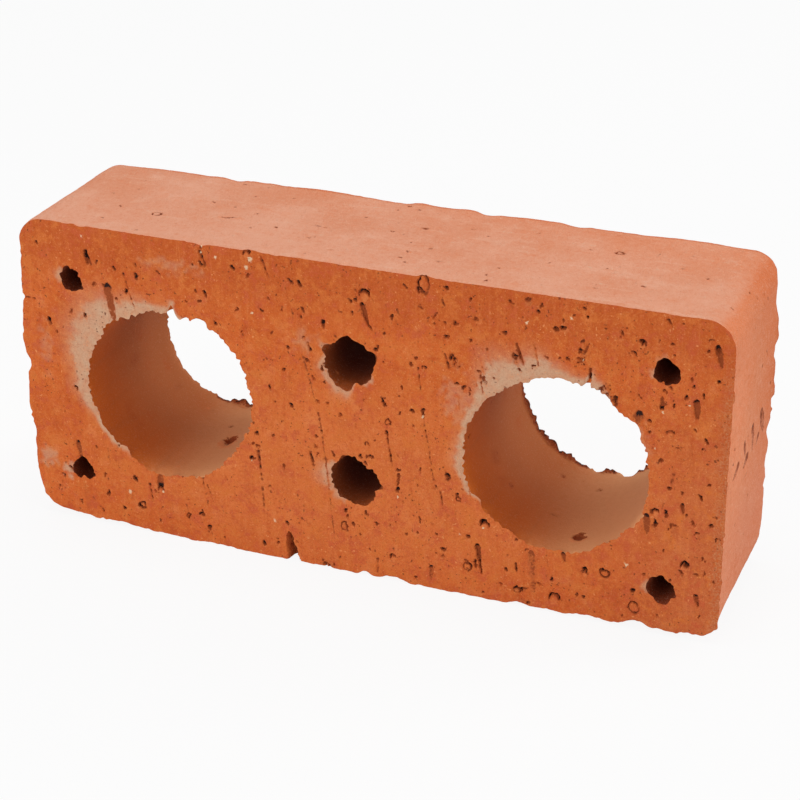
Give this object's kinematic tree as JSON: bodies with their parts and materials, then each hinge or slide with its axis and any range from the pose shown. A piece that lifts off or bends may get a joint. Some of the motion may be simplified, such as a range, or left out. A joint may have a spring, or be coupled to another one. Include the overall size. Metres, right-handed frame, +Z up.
{
  "type": "perforated clay brick",
  "caption": "Extruded and wire-cut fired clay brick with large round grip holes, smaller round core holes and pin holes through its bed faces, standing on its stretcher face",
  "frame": {"origin": "middle of the underside stretcher face, on the floor, midway between the two bed faces", "axes": "+X along the length towards the gouged header, +Y along the holes from the front bed face to the rear one, +Z up across the width"},
  "size_m": [0.23, 0.054, 0.105],
  "materials": {
    "fired_clay": "matt unglazed orange-red fired clay; smooth and salmon pink on the extruded sides, rough with drag scores on the two wire-cut bed faces, with a pale bloom round the holes"
  },
  "bodies": {
    "root": {"brick": "fired_clay"}
  },
  "joints": []
}
